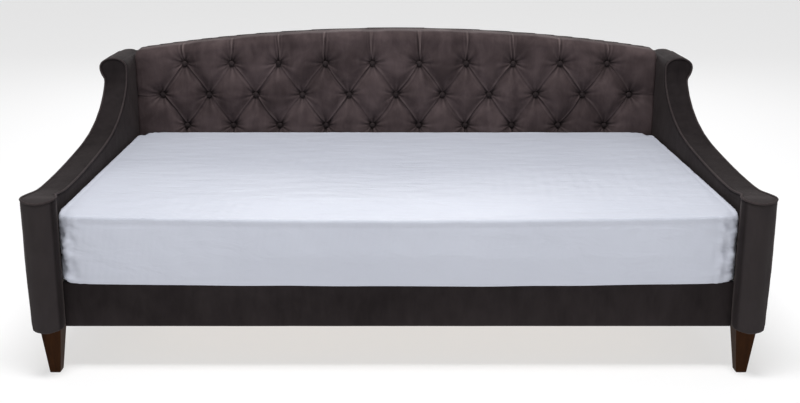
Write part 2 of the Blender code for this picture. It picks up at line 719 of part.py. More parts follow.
def build_deck():
    """Ledgers, slats, centre beam and centre leg."""
    ledger_z = (UNDER_SLATS - LEDGER, UNDER_SLATS)
    front = (BOARD_REAR_FACE + GAP, BOARD_REAR_FACE + GAP + LEDGER)
    rear = (BOARD_FRONT - GAP - LEDGER, BOARD_FRONT - GAP)
    for name, limits in (("front_ledger", front), ("rear_ledger", rear)):
        mesh = box_mesh((-RAIL_HALF, RAIL_HALF), limits, ledger_z)
        add_part(name, mesh, SOFTWOOD, 0.6)

    first = -MATTRESS_LENGTH / 2 + SLAT_END_INSET + SLAT_WIDTH / 2
    pitch = -2 * first / (SLAT_COUNT - 1)
    for number in range(SLAT_COUNT):
        middle = first + pitch * number
        limits = (middle - SLAT_WIDTH / 2, middle + SLAT_WIDTH / 2)
        mesh = box_mesh(limits, (SLAT_FRONT, SLAT_BACK), (SLAT_BOTTOM, DECK))
        add_part(f"slat_{number + 1:02d}", mesh, SOFTWOOD, 0.55)

    beam_end = CORE_IN - GAP - BRACKET_THICK - GAP
    beam_y = (BEAM_MIDDLE - BEAM_WIDTH / 2, BEAM_MIDDLE + BEAM_WIDTH / 2)
    beam_low = UNDER_SLATS - BEAM_HEIGHT
    beam = box_mesh((-beam_end, beam_end), beam_y, (beam_low, UNDER_SLATS))
    add_part("centre_beam", beam, SOFTWOOD, 0.6)

    half = CENTRE_LEG / 2
    leg = box_mesh((-half, half), (BEAM_MIDDLE - half, BEAM_MIDDLE + half), (0.0, beam_low - GAP))
    bevel(add_part("centre_leg", leg, LEG_STAIN, 0.4), LEG_EDGE)


def build_brackets():
    """Steel angles that hold the centre beam and the front rail to the arm frames."""
    beam_low = UNDER_SLATS - BEAM_HEIGHT
    plate_out = CORE_IN - GAP
    plate_in = plate_out - BRACKET_THICK
    for name, side in SIDES.items():
        shelf = beam_low - GAP
        hanger = [
            (plate_out, UNDER_SLATS - GAP), (plate_in, UNDER_SLATS - GAP), (plate_in, shelf),
            (plate_in - BRACKET_ARM, shelf), (plate_in - BRACKET_ARM, shelf - BRACKET_THICK),
            (plate_out, shelf - BRACKET_THICK),
        ]
        limits = (BEAM_MIDDLE - BRACKET_ARM / 2, BEAM_MIDDLE + BRACKET_ARM / 2)
        mesh = pushed_outline(mirrored(hanger, side), "XZ", *limits)
        add_part("beam_bracket_" + name, mesh, STEEL, 0.4, 1.0)

        start = BOARD_REAR_FACE + GAP
        along = RAIL_HALF - BRACKET_ARM
        angle = [
            (along, start), (plate_out, start), (plate_out, start + BRACKET_ARM),
            (plate_in, start + BRACKET_ARM), (plate_in, start + BRACKET_THICK),
            (along, start + BRACKET_THICK),
        ]
        top = UNDER_SLATS - LEDGER - GAP
        mesh = pushed_outline(mirrored(angle, side), "XY", top - BRACKET_HEIGHT, top)
        add_part("rail_bracket_" + name, mesh, STEEL, 0.4, 1.0)


# ------------------------------------------------------------------ mattress
def rounded_plan(half_length, front, back, radius):
    """Plan of a slab with round corners."""
    x = half_length - radius
    outline = []
    for cx, cy, start in ((x, back - radius, 0), (-x, back - radius, 90),
                          (-x, front + radius, 180), (x, front + radius, 270)):
        outline += arc((cx, cy), radius, start, start + 90, 5)
    return outline


def grown_slab(grow, low, high):
    """The mattress's shape grown sideways by a distance, between two heights."""
    plan = rounded_plan(MATTRESS_LENGTH / 2 + grow, MATTRESS_SETBACK - grow,
                        MATTRESS_BACK + grow, MATTRESS_CORNER + grow)
    return pushed_outline(plan, "XY", low, high, MATTRESS_EDGE + grow)


def build_mattress():
    """The mattress and its fitted sheet, which lift out together."""
    lift = new_empty("mattress_lift", (0.0, (MATTRESS_SETBACK + MATTRESS_BACK) / 2, SHEET_BOTTOM), ORIGIN)
    mattress = add_part("mattress", grown_slab(0.0, MATTRESS_BOTTOM, MATTRESS_TOP), TICKING, 0.9)

    inside = GAP
    outside = GAP + SHEET_THICK
    sheet_mesh = grown_slab(outside, MATTRESS_BOTTOM - outside, MATTRESS_TOP + outside)
    sheet = add_part("fitted_sheet", sheet_mesh, COTTON, 0.4)
    hollow = grown_slab(inside, MATTRESS_BOTTOM - inside, MATTRESS_TOP + inside)
    boolean(sheet, "DIFFERENCE", add_cutter("sheet_inside", hollow))
    mouth = rounded_plan(MATTRESS_LENGTH / 2 - SHEET_HEM, MATTRESS_SETBACK + SHEET_HEM,
                         MATTRESS_BACK - SHEET_HEM, MATTRESS_CORNER / 2)
    opening = pushed_outline(mouth, "XY", DECK - SLAT_THICK, MATTRESS_BOTTOM + SLAT_THICK)
    boolean(sheet, "DIFFERENCE", add_cutter("sheet_mouth", opening))

    for piece in (mattress, sheet):
        piece.parent = lift
        piece.data.transform(Matrix.Translation(-lift.location))
    for cutter in ("sheet_inside", "sheet_mouth"):
        bpy.data.objects[cutter].parent = ORIGIN


# ------------------------------------------------------------------ build
clear_scene()
PARTS = new_collection("daybed")
CUTTERS = new_collection("cutters")
ORIGIN = new_empty("daybed_front", (0.0, -(DEPTH - PIPING_RADIUS) / 2, 0.0))

for side_name, side_sign in SIDES.items():
    arm_frame, post_block = build_arm(side_name, side_sign)
    front_place = (side_sign * FRONT_LEG_X, LEG_SETBACK)
    rear_place = (side_sign * REAR_LEG_X, DEPTH - LEG_SETBACK)
    build_leg("leg_front_" + side_name, front_place, post_block)
    build_leg("leg_rear_" + side_name, rear_place, arm_frame)

build_back()
build_buttons()
build_front_rail()
build_deck()
build_brackets()
build_mattress()
bpy.context.view_layer.update()
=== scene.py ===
# %% [markdown]
# # A tufted velvet daybed
# This lesson dresses the imported frame of a daybed: the solid timber, the bolts and the slats are already
# there, exact, and each thing that is soft in the workshop is made here. The frame is loaded first,
# because every cover takes its place from it.

# %% Load the frame
import math

import bpy
import numpy as np
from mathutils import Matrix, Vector


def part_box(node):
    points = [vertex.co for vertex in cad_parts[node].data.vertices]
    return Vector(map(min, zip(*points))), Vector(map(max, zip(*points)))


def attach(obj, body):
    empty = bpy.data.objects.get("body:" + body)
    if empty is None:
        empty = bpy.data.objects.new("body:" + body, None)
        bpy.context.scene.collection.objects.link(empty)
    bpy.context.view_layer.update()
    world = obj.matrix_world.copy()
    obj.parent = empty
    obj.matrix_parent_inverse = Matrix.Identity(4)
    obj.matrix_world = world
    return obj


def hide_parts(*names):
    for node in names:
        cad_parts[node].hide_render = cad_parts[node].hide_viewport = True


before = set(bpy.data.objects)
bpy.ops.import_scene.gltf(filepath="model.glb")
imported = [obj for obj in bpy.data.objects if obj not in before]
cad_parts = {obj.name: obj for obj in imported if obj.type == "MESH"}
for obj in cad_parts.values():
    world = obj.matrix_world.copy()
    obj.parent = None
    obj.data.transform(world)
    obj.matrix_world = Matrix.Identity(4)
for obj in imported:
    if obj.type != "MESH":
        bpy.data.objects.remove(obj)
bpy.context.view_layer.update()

# %% [markdown]
# ## Measures
# An upholsterer works from the finished timber, so the main faces are read from the frame's own
# boxes. Only the rows of buttons and the arch are worked out, from the same rules as the frame.

# %% Measures
def low(node):
    """Lowest corner of a frame piece."""
    return np.array(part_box(node)[0])


def high(node):
    """Highest corner of a frame piece."""
    return np.array(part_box(node)[1])


BACK_FRONT = low("back_tufted_pad")[1]
BACK_REAR = high("back_tufted_pad")[1]
TOP_REAR = high("back_top_pad")[1]
BACK_HALF = high("back_tufted_pad")[0]
BACK_LOW = low("back_tufted_pad")[2]
CROWN = high("back_top_pad")[2]
TOP_PAD = 0.020
ARCH_RISE = 0.074
ARCH_RADIUS = (BACK_HALF ** 2 + ARCH_RISE ** 2) / (2 * ARCH_RISE)
PITCH = 0.174
ROW_STEP = 0.1175
TOP_ROW = CROWN - ARCH_RISE - 0.048
BUTTON_RADIUS = 0.0098
SIDES = {"left": -1, "right": 1}


def arch(x):
    """Height of the back's arched top at a place along the bed."""
    return CROWN - ARCH_RADIUS + np.sqrt(ARCH_RADIUS ** 2 - x ** 2)


print("back front", BACK_FRONT, "crown", CROWN, "half", BACK_HALF)

# %% [markdown]
# ## Camera, floor and light
# The bed is looked at from the front, a little above the mattress. A long lens keeps the arms
# from spreading. The floor is pale and glows a little, so that it stays light in its own shade.
# A broad soft light hangs high over the front edge and models the folds. A faint one in front
# and one behind keep the dark velvet from closing up.

# %% Camera
CAMERA_PLACE = (-0.0309, -3.1356, 1.3255)
CAMERA_TILT = 12.76
CAMERA_LENS = 44.49
CAMERA_SHIFT = (0.0157, -0.10)


def aim_camera():
    """The camera, level with a tall person's chest and tilted a little down."""
    data = bpy.data.cameras.new("camera")
    camera = bpy.data.objects.new("camera", data)
    bpy.context.scene.collection.objects.link(camera)
    data.sensor_width = 36.0
    data.lens = CAMERA_LENS
    data.shift_x, data.shift_y = CAMERA_SHIFT
    camera.location = CAMERA_PLACE
    camera.rotation_euler = (math.radians(90.0 - CAMERA_TILT), 0.0, 0.0)
    bpy.context.scene.camera = camera


aim_camera()


# %% [markdown]
# The floor is one large plane, and each light is a rectangle turned to face a point. Area lights
# are used rather than lamps, because the edge of a shadow is as soft as the light is wide.


# %% Floor and lights
FLOOR_GLOW = 0.57


def lay_floor():
    """A pale floor that runs past every view."""
    bpy.ops.object.select_all(action="DESELECT")
    bpy.ops.mesh.primitive_plane_add(size=60.0)
    floor = bpy.context.object
    floor.name = "floor"
    paint = bpy.data.materials.new("floor_paint")
    paint.use_nodes = True
    shader = paint.node_tree.nodes["Principled BSDF"]
    shader.inputs["Base Color"].default_value = (0.42, 0.42, 0.424, 1.0)
    shader.inputs["Roughness"].default_value = 0.9
    shader.inputs["Emission Color"].default_value = (1.0, 1.0, 1.0, 1.0)
    shader.inputs["Emission Strength"].default_value = FLOOR_GLOW
    floor.data.materials.append(paint)


def hang_light(name, place, aim, size, power):
    """A soft square light that faces a point."""
    data = bpy.data.lights.new(name, "AREA")
    data.shape = "RECTANGLE"
    data.size, data.size_y = size
    data.energy = power
    light = bpy.data.objects.new(name, data)
    light.location = place
    way = Vector(aim) - Vector(place)
    light.rotation_euler = way.to_track_quat("-Z", "Y").to_euler()
    bpy.context.scene.collection.objects.link(light)


def light_room():
    """Even surroundings, whiter near the floor, and three soft lights."""
    world = bpy.data.worlds.new("studio")
    world.use_nodes = True
    nodes, links = world.node_tree.nodes, world.node_tree.links
    air = nodes["Background"]
    way = nodes.new("ShaderNodeTexCoord")
    split = nodes.new("ShaderNodeSeparateXYZ")
    fade = nodes.new("ShaderNodeValToRGB")
    fade.color_ramp.elements[0].position = 0.16
    fade.color_ramp.elements[0].color = (0.95, 0.95, 0.95, 1.0)
    fade.color_ramp.elements[1].position = 0.34
    fade.color_ramp.elements[1].color = (0.36, 0.36, 0.36, 1.0)
    links.new(way.outputs["Generated"], split.inputs[0])
    links.new(split.outputs["Z"], fade.inputs["Fac"])
    links.new(fade.outputs["Color"], air.inputs["Color"])
    air.inputs["Strength"].default_value = 1.0
    bpy.context.scene.world = world
    hang_light("key", (-0.2, -1.3, 5.3), (0.0, 0.1, 0.5), (2.6, 1.1), 215.0)
    hang_light("front_fill", (0.3, -4.4, 1.2), (0.0, 0.0, 0.5), (3.0, 1.4), 3.0)
    hang_light("rear", (0.0, 4.0, 2.6), (0.0, 0.2, 0.5), (2.6, 1.2), 60.0)
    bpy.context.scene.view_settings.view_transform = "Standard"


lay_floor()
light_room()
print("camera and lights are up")

# %% [markdown]
# ## Finishes
# A finish is a small network of nodes. To write its arithmetic as plain sums, one class wraps a
# socket and turns Python's operators into Math nodes. Every other node comes from one method.


# %% A bench for finishes
class Wire:
    """A node's output, on which arithmetic adds Math nodes."""

    def __init__(self, bench, socket):
        self.bench = bench
        self.socket = socket

    def maths(self, operation, first, second=0.0, clamp=False):
        settings = {"operation": operation, "use_clamp": clamp}
        return self.bench.node("ShaderNodeMath", settings, {0: first, 1: second})

    def __add__(self, other):
        return self.maths("ADD", self, other)

    def __radd__(self, other):
        return self.maths("ADD", other, self)

    def __sub__(self, other):
        return self.maths("SUBTRACT", self, other)

    def __rsub__(self, other):
        return self.maths("SUBTRACT", other, self)

    def __mul__(self, other):
        return self.maths("MULTIPLY", self, other)

    def __rmul__(self, other):
        return self.maths("MULTIPLY", other, self)

    def limited(self):
        return self.maths("ADD", self, 0.0, clamp=True)


class Bench:
    """One material with its node tree."""

    def __init__(self, name, **constants):
        self.material = bpy.data.materials.new(name)
        self.material.use_nodes = True
        self.tree = self.material.node_tree
        self.shader = self.tree.nodes["Principled BSDF"]
        for key, value in constants.items():
            socket = key.replace("_", " ").title().replace("Ior", "IOR")
            self.shader.inputs[socket].default_value = value

    def feed(self, socket, value):
        if isinstance(value, Wire):
            self.tree.links.new(value.socket, socket)
        else:
            socket.default_value = value

    def node(self, kind, settings, values, output=0):
        made = self.tree.nodes.new(kind)
        for key, value in settings.items():
            setattr(made, key, value)
        for key, value in values.items():
            self.feed(made.inputs[key], value)
        return Wire(self, made.outputs[output])

    def place(self, scale=(1.0, 1.0, 1.0), turn=(0.0, 0.0, 0.0)):
        """Places on the piece, stretched or turned for a pattern."""
        where = self.node("ShaderNodeTexCoord", {}, {}, "Object")
        return self.node("ShaderNodeMapping", {}, {"Vector": where, "Scale": scale, "Rotation": turn})

    def split(self):
        """The three coordinates of a place, one by one."""
        where = {"Vector": self.node("ShaderNodeTexCoord", {}, {}, "Object")}
        return [self.node("ShaderNodeSeparateXYZ", {}, where, axis) for axis in range(3)]

    def noise(self, where, scale, detail=3.0, roughness=0.5, distortion=0.0):
        values = {"Vector": where, "Scale": scale, "Detail": detail,
                  "Roughness": roughness, "Distortion": distortion}
        return self.node("ShaderNodeTexNoise", {}, values, "Fac")

    def mix(self, factor, first, second):
        """Mix two colours; a plain colour is three numbers."""
        ends = [c if isinstance(c, Wire) else (*c, 1.0) for c in (first, second)]
        settings = {"data_type": "RGBA"}
        return self.node("ShaderNodeMix", settings, {0: factor, 6: ends[0], 7: ends[1]}, 2)

    def surface(self, colour=None, roughness=None, height=None, distance=0.001, strength=1.0):
        """Lead the patterns to the shader: colour, gloss and relief."""
        if colour is not None:
            self.feed(self.shader.inputs["Base Color"], colour)
        if roughness is not None:
            self.feed(self.shader.inputs["Roughness"], roughness)
        if height is not None:
            values = {"Height": height, "Distance": distance, "Strength": strength}
            bump = self.node("ShaderNodeBump", {}, values, "Normal")
            self.feed(self.shader.inputs["Normal"], bump)
        return self.material


print("bench ready")

# %% [markdown]
# ### Velvet
# Velvet is a dense pile of upright threads. Light skims off the tips, so the cloth glows at its
# edges: that is the shader's sheen. Where the pile leans, it looks lighter or darker in soft
# patches, and close up it is a fine grain. Three noises of very different size give the three.
# It would be one cloth all over. Here the arms, posts, rail, back, piping and buttons each get their own
# tint, matched by measure under these lights: they are lit and shaded copies of one velvet, with light and
# shade painted into each part's colour. Here the arms, posts, rail, back, piping and buttons each get
# their own tint, matched by eye and by measure under these lights; a pile that leans another way could
# explain it, but that is a guess. The fronts of the posts are also mixed towards a lighter velvet, a
# painted light. On the back, an attribute paints highlights on the lips of the folds and painted shade in
# the creases and round the buttons.


# %% Velvet
VELVET_RELIEF = 0.0005
POST_BACK = -0.500
POST_INNER = 0.946
POST_FRONT_PAINTED_LIGHT = (0.056, 0.0475, 0.0485)
FOLD_PAINTED_SHADE = (0.006, 0.0042, 0.0043)
FOLD_PAINTED_HIGHLIGHT = (0.160, 0.126, 0.122)


def velvet_finish(name, deep, lit, folded=False, posts=False):
    """Velvet with leaning pile, between a deep and a lit colour; with painted light on the fronts of the
    posts, and painted light and shade on the folds of the back.
    """
    bench = Bench(name, sheen_weight=0.09, sheen_roughness=0.30, sheen_tint=(0.80, 0.66, 0.64, 1.0),
                  specular_ior_level=0.10)
    where = bench.place()
    lean = bench.noise(where, 8.0 if folded else 4.0, 4.0, 0.55, 0.6)
    brushed = bench.noise(bench.place((1.0, 1.0, 0.35)), 42.0, 3.0, 0.6, 0.4)
    pile = bench.noise(where, 1500.0, 2.0, 0.7)
    patchy = 2.6 if folded else 1.5
    shade = ((lean - 0.5) * patchy + 0.45 + (brushed - 0.5) * 0.9 + (pile - 0.5) * 0.35).limited()
    colour = bench.mix(shade, deep, lit)
    # Painted light: past the arm's inner face and in front of POST_BACK, the posts' velvet is mixed
    # towards a lighter colour, for the light on their fronts.
    if posts:
        across, along, _ = bench.split()
        beside = ((across * across - POST_INNER ** 2) * 120).limited()
        painted_light_mask = ((POST_BACK - along) * 60).limited() * beside
        colour = bench.mix(painted_light_mask * 0.38, colour, POST_FRONT_PAINTED_LIGHT)
    if folded:
        # Painted light and shade: the attribute darkens creases and dimples towards a painted shade
        # colour, and lightens the lips of the folds towards a painted highlight colour.
        painted_highlight_shade = bench.node("ShaderNodeAttribute", {"attribute_name": "fold_painted_light_and_shade"}, {}, "Fac")
        colour = bench.mix((0 - painted_highlight_shade).limited() * 0.80, colour, FOLD_PAINTED_SHADE)
        colour = bench.mix(painted_highlight_shade.limited() * 0.62, colour, FOLD_PAINTED_HIGHLIGHT)
    roughness = 0.86 - shade * 0.14
    height = pile * 0.6 + brushed * 0.9
    return bench.surface(colour, roughness, height, VELVET_RELIEF, 0.55)


VELVET = velvet_finish("velvet", (0.0095, 0.0072, 0.0076), (0.0215, 0.0168, 0.0174), posts=True)
# Lit copies of the one velvet: the rail, the tufted back, the piping and the buttons are painted lighter
# than the arms, for the light that each part gets.
RAIL_VELVET_PAINTED_LIGHT = velvet_finish("velvet_on_rail_painted_light", (0.0140, 0.0108, 0.0113), (0.0290, 0.0230, 0.0237))
TUFTED_VELVET_PAINTED_LIGHT = velvet_finish("velvet_in_folds_painted_light", (0.040, 0.0285, 0.0292), (0.082, 0.0600, 0.0610),
                              folded=True)
PIPING_VELVET_PAINTED_LIGHT = velvet_finish("velvet_on_cord_painted_light", (0.026, 0.0205, 0.0210), (0.056, 0.0440, 0.0445))
BUTTON_VELVET_PAINTED_LIGHT = velvet_finish("velvet_on_buttons_painted_light", (0.015, 0.0110, 0.0113), (0.038, 0.0285, 0.0290))

# %% [markdown]
# ### Sheet and ticking
# The sheet is cotton sateen: smooth, cool white and a little glossy, with threads too fine to see
# one by one and faint creases from the packet. The mattress under it is covered in ticking, a
# stout striped weave, which shows when the sheet's mouth is seen from below.


# %% Sheet and ticking
def sateen_finish():
    """Cool white cotton sateen with fine threads and faint creases."""
    bench = Bench("sateen", sheen_weight=0.12, sheen_roughness=0.4, specular_ior_level=0.45)
    crease = bench.noise(bench.place((0.5, 1.7, 1.0), (0.0, 0.0, 0.22)), 17.0, 5.0, 0.55, 0.8)
    thread = bench.noise(bench.place((0.25, 1.0, 1.0)), 1100.0, 2.0, 0.6)
    cloud = bench.noise(bench.place(), 2.4, 3.0)
    colour = bench.mix((cloud * 1.4 - 0.2 + (thread - 0.5) * 0.4).limited(),
                       (0.525, 0.548, 0.626), (0.580, 0.603, 0.682))
    roughness = 0.38 + crease * 0.14
    return bench.surface(colour, roughness, crease * 4.4 + thread * 0.18, 0.0011, 0.6)


def ticking_finish():
    """Woven mattress ticking: cream with narrow grey stripes."""
    bench = Bench("ticking", sheen_weight=0.1)
    settings = {"wave_type": "BANDS", "bands_direction": "X"}
    stripe = bench.node("ShaderNodeTexWave", settings, {"Vector": bench.place(), "Scale": 26.0}, "Fac")
    thread = bench.noise(bench.place((1.0, 0.4, 1.0)), 900.0, 2.0)
    line = ((stripe - 0.82) * 9.0).limited()
    colour = bench.mix(line, (0.74, 0.72, 0.66), (0.42, 0.44, 0.48))
    return bench.surface(colour, 0.82 + thread * 0.1, thread, 0.0004, 0.5)


SATEEN = sateen_finish()
TICKING = ticking_finish()


# %% [markdown]
# ### Wood and steel
# The legs are beech, stained like coffee under a thin lacquer. The hidden timber is bare pine and birch
# plywood. The arm frames are painted near-black, a painted shade for the seams where they show. Grain is a
# noise stretched along the piece. The brackets and bolts are plated steel, mottled and brushed.


# %% Wood and steel
def wood_finish(name, dark, light, stretch, gloss, ring=26.0, **constants):
    """Wood whose grain runs along the axis that stretch makes long."""
    bench = Bench(name, **constants)
    where = bench.place(stretch)
    warp = bench.noise(where, 3.0, 3.0)
    rings = bench.noise(where, ring, 6.0, 0.62, 1.4)
    pore = bench.noise(where, ring * 9.0, 3.0, 0.7)
    shade = (rings * 1.5 - 0.35 + (warp - 0.5) * 0.6 - (pore - 0.5) * 0.5).limited()
    colour = bench.mix(shade, dark, light)
    roughness = gloss + pore * 0.12
    return bench.surface(colour, roughness, pore * 0.6 + rings * 0.4, 0.0004, 0.4)


def steel_finish():
    """Plated steel, faintly mottled and brushed."""
    bench = Bench("plated_steel", metallic=1.0)
    spangle = bench.noise(bench.place(), 70.0, 4.0, 0.6)
    brush = bench.noise(bench.place((1.0, 1.0, 14.0)), 160.0, 2.0)
    colour = bench.mix(spangle, (0.46, 0.47, 0.48), (0.66, 0.67, 0.68))
    return bench.surface(colour, 0.26 + spangle * 0.22, brush, 0.0002, 0.3)


STAINED = wood_finish("stained_beech", (0.012, 0.0042, 0.0013), (0.048, 0.0168, 0.0046),
                      (1.0, 1.0, 0.09), 0.42, specular_ior_level=0.04)
# Painted shade: the arm frames get a near-black finish, so that where a seam shows them it reads as shade.
ARM_FRAME_PAINTED_SHADE = wood_finish("pine_painted_shade", (0.010, 0.008, 0.007), (0.030, 0.024, 0.020),
                      (1.0, 0.08, 1.0), 0.6, specular_ior_level=0.2)
PINE_ALONG = wood_finish("pine_along", (0.42, 0.27, 0.13), (0.66, 0.49, 0.30), (0.08, 1.0, 1.0), 0.55)
PINE_ACROSS = wood_finish("pine_across", (0.46, 0.31, 0.16), (0.70, 0.54, 0.34), (1.0, 0.08, 1.0), 0.55)
PINE_UP = wood_finish("pine_up", (0.42, 0.27, 0.13), (0.66, 0.49, 0.30), (1.0, 1.0, 0.08), 0.55)
PLY = wood_finish("birch_ply", (0.50, 0.37, 0.22), (0.72, 0.58, 0.39), (0.12, 1.0, 0.8), 0.5, 18.0)
STEEL = steel_finish()
print("finishes", len(bpy.data.materials))


# %% [markdown]
# The timber, bolts and brackets keep their exact shapes, so they only need a finish each. A
# material is hung on the object's slot, which leaves the frame's own mesh as it was.


# %% Finishes on the timber, bolts and brackets
def finish_node(node, material):
    """Give a frame piece its finish."""
    slots = bpy.data.objects[node].material_slots
    for slot in slots:
        slot.link = "OBJECT"
        slot.material = material


ALONG = ["back_top_rail", "back_bottom_rail", "front_rail_board", "front_ledger", "rear_ledger",
         "centre_beam"]
ACROSS = ["slat_%02d" % number for number in range(1, 13)]
UPRIGHT = ["back_stile_left", "back_stile_centre", "back_stile_right"]
BOLTED = ["centre_leg"]
PLATED = []
HIDDEN = []
for side in SIDES:
    UPRIGHT += ["post_block_" + side]
    HIDDEN += ["arm_frame_" + side]
    BOLTED += ["leg_front_" + side, "leg_rear_" + side]
    PLATED += ["leg_bolt_front_" + side, "leg_bolt_rear_" + side]
    PLATED += ["beam_bracket_" + side, "rail_bracket_" + side]
for names, finish in ((ALONG, PINE_ALONG), (ACROSS, PINE_ACROSS), (UPRIGHT, PINE_UP),
                      (BOLTED, STAINED), (PLATED, STEEL), (["back_board"], PLY), (HIDDEN, ARM_FRAME_PAINTED_SHADE)):
    for name in names:
        finish_node(name, finish)
print("timber finished")

# %% [markdown]
# ## Helpers for soft shapes
# Three things are done again and again. A cover is begun as a grid that is bent to its shape,
# cloth is given slow waves that have no pattern, and a solid of the frame is copied to be the
# block of foam that a cover is worked from. The copy is welded and wrapped in an even net of
# small squares, which takes a fold or a crown wherever one is wanted.


# %% Shaping helpers
def waves(places, length, seed, count=7, stretch=(1.0, 1.0, 1.0)):
    """Slow waves over places, about one length long, between -1 and 1."""
    rng = np.random.default_rng(seed)
    total = np.zeros(len(places))
    for _ in range(count):
        way = rng.normal(size=3) / np.array(stretch)
        way *= 2 * math.pi / (length * np.linalg.norm(way) * rng.uniform(0.7, 1.5))
        total += np.sin(places @ way + rng.uniform(0, 2 * math.pi))
    return total / count


def get_places(piece):
    """The vertices of a piece as rows of x, y, z."""
    flat = np.empty(3 * len(piece.data.vertices))
    piece.data.vertices.foreach_get("co", flat)
    return flat.reshape(-1, 3)


def set_places(piece, places):
    """Move the vertices of a piece."""
    piece.data.vertices.foreach_set("co", np.ascontiguousarray(places).ravel())
    piece.data.update()


def get_ways(piece):
    """The way that each vertex faces."""
    flat = np.empty(3 * len(piece.data.vertices))
    piece.data.vertices.foreach_get("normal", flat)
    return flat.reshape(-1, 3)


def ease(value, start, end):
    """From 0 to 1, smoothly, as a value goes from start to end."""
    t = np.clip((value - start) / (end - start), 0.0, 1.0)
    return t * t * (3 - 2 * t)


def only(piece):
    """Select one piece and nothing else."""
    bpy.ops.object.select_all(action="DESELECT")
    piece.select_set(True)
    bpy.context.view_layer.objects.active = piece


def apply(piece, kind, **settings):
    """Add a modifier and make it real."""
    only(piece)
    modifier = piece.modifiers.new(kind.title(), kind)
    for key, value in settings.items():
        setattr(modifier, key, value)
    bpy.ops.object.modifier_apply(modifier=modifier.name)


def open_edit(piece, kind="VERT", select="SELECT"):
    """Open a piece for editing, with all of it selected or none."""
    only(piece)
    bpy.ops.object.mode_set(mode="EDIT")
    bpy.ops.mesh.select_mode(type=kind)
    bpy.ops.mesh.select_all(action=select)


def weld(piece, near):
    """Merge what touches and turn every face outwards."""
    open_edit(piece)
    bpy.ops.mesh.remove_doubles(threshold=near)
    bpy.ops.mesh.normals_make_consistent(inside=False)
    bpy.ops.object.mode_set(mode="OBJECT")


def shaped_grid(name, columns, rows, shape):
    """A grid whose points go where shape(across, along) puts them."""
    bpy.ops.object.select_all(action="DESELECT")
    bpy.ops.mesh.primitive_grid_add(x_subdivisions=columns, y_subdivisions=rows, size=2.0)
    piece = bpy.context.object
    piece.name = piece.data.name = name
    flat = get_places(piece)
    set_places(piece, shape((flat[:, 0] + 1) / 2, (flat[:, 1] + 1) / 2))
    return piece


def join(parts):
    """Join parts into the first of them."""
    bpy.ops.object.select_all(action="DESELECT")
    for part in parts:
        part.select_set(True)
    bpy.context.view_layer.objects.active = parts[0]
    if len(parts) > 1:
        bpy.ops.object.join()
    return parts[0]


def foam_from(name, *nodes):
    """A welded copy of frame solids, as one new piece at the origin."""
    copies = []
    for node in nodes:
        mesh = bpy.data.objects[node].data.copy()
        mesh.materials.clear()
        copy = bpy.data.objects.new(name, mesh)
        bpy.context.scene.collection.objects.link(copy)
        copies.append(copy)
    piece = join(copies)
    piece.name = piece.data.name = name
    weld(piece, 0.00002)
    return piece


def wrap(piece, square, rounds):
    """Wrap a piece in an even net of squares and round it off."""
    apply(piece, "REMESH", mode="VOXEL", voxel_size=square, adaptivity=0.0, use_smooth_shade=True)
    apply(piece, "SMOOTH", factor=0.5, iterations=rounds)


def finish_piece(piece, material, slot, *nodes, body="frame", fill=None):
    """Finish a piece, and say what it replaces and rides on."""
    piece.data.materials.clear()
    piece.data.materials.append(material)
    only(piece)
    bpy.ops.object.shade_smooth()
    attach(piece, body)
    if nodes:
        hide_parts(*nodes)
    print(piece.name, len(piece.data.polygons), "faces")


print("helpers ready")

# %% [markdown]
# ## The tufted back
# Twine pulls each button down to the board, and the spare velvet between buttons is folded into
# pleats: slanting ones that make diamonds, upright ones above the top row and below the bottom
# row, and short level ones at the sides. It could be simulated, but pleats are laid by hand in
# the workshop, so they are laid by rule here. A dense grid is bent round the section of the back,
# and each point is then pushed in by its distance from the pleats and the buttons.


# %% Buttons and pleats
def row_places(first):
    """Places of one row's buttons, from a first one at or right of the middle."""
    right = np.arange(first, BACK_HALF - 0.085, PITCH)
    return sorted({round(float(side * x), 5) for x in right for side in (-1, 1)})


ROWS = {
    "top": (TOP_ROW, row_places(PITCH / 2)),
    "middle": (TOP_ROW - ROW_STEP, row_places(0.0)),
    "bottom": (TOP_ROW - 2 * ROW_STEP, row_places(PITCH / 2)),
}


def pleat_lines():
    """Pleats as pairs of points (x, z): slanting, upright and level."""
    lines = []
    middle_z, middle = ROWS["middle"]
    for row in ("top", "bottom"):
        row_z, row_x = ROWS[row]
        for x in middle:
            lines += [((x, middle_z), (other, row_z)) for other in row_x if abs(other - x) < PITCH * 0.6]
        end = CROWN + 0.02 if row == "top" else BACK_LOW
        spread = (-0.012, 0.009) if row == "top" else (0.0,)
        lines += [((x, row_z), (x + apart, end)) for x in row_x for apart in spread]
    for side in (-1, 1):
        lines.append(((side * max(middle), middle_z), (side * BACK_HALF, middle_z)))
    return lines


BUTTONS = [(x, z) for z, row in ROWS.values() for x in row]
PLEATS = pleat_lines()
print(len(BUTTONS), "buttons and", len(PLEATS), "pleats")

# %% [markdown]
# The pleat is not a plain groove. The upper cloth laps over the lower, so the surface drops
# steeply on one side of the fold and climbs slowly on the other. Near a button the cloth is
# gathered, and fine wrinkles run outwards from it like rays.


# %% Depth of the tufting, and its painted light and shade
PUFF = 0.0140
PUFF_REACH = 0.027
CREASE = 0.0068
LIP = 0.0030
LIP_PLACE = 0.0056
PULL = 0.0125
PULL_REACH = 0.024
SEAT = 0.0262


def pleat_frame(number, ends, x, z):
    """Places along a pleat from 0 to 1, square to its bowed line, and past its ends."""
    (x0, z0), (x1, z1) = ends
    run = np.array([x1 - x0, z1 - z0])
    length = np.hypot(*run)
    run = run / length
    side = np.array([-run[1], run[0]])
    if side[1] < 0 or (abs(side[1]) < 0.01 and side[0] * x0 > 0):
        side = -side
    along = ((x - x0) * run[0] + (z - z0) * run[1]) / length
    bow = 0.0055 * math.sin(number * 2.4) * np.sin(np.clip(along, 0, 1) * math.pi)
    across = (x - x0) * side[0] + (z - z0) * side[1] - bow
    past = np.maximum(np.maximum(-along, along - 1), 0.0) * length
    return along, across, past


def bell(value, width):
    """A soft bump of height 1."""
    return np.exp(-(value / width) ** 2)


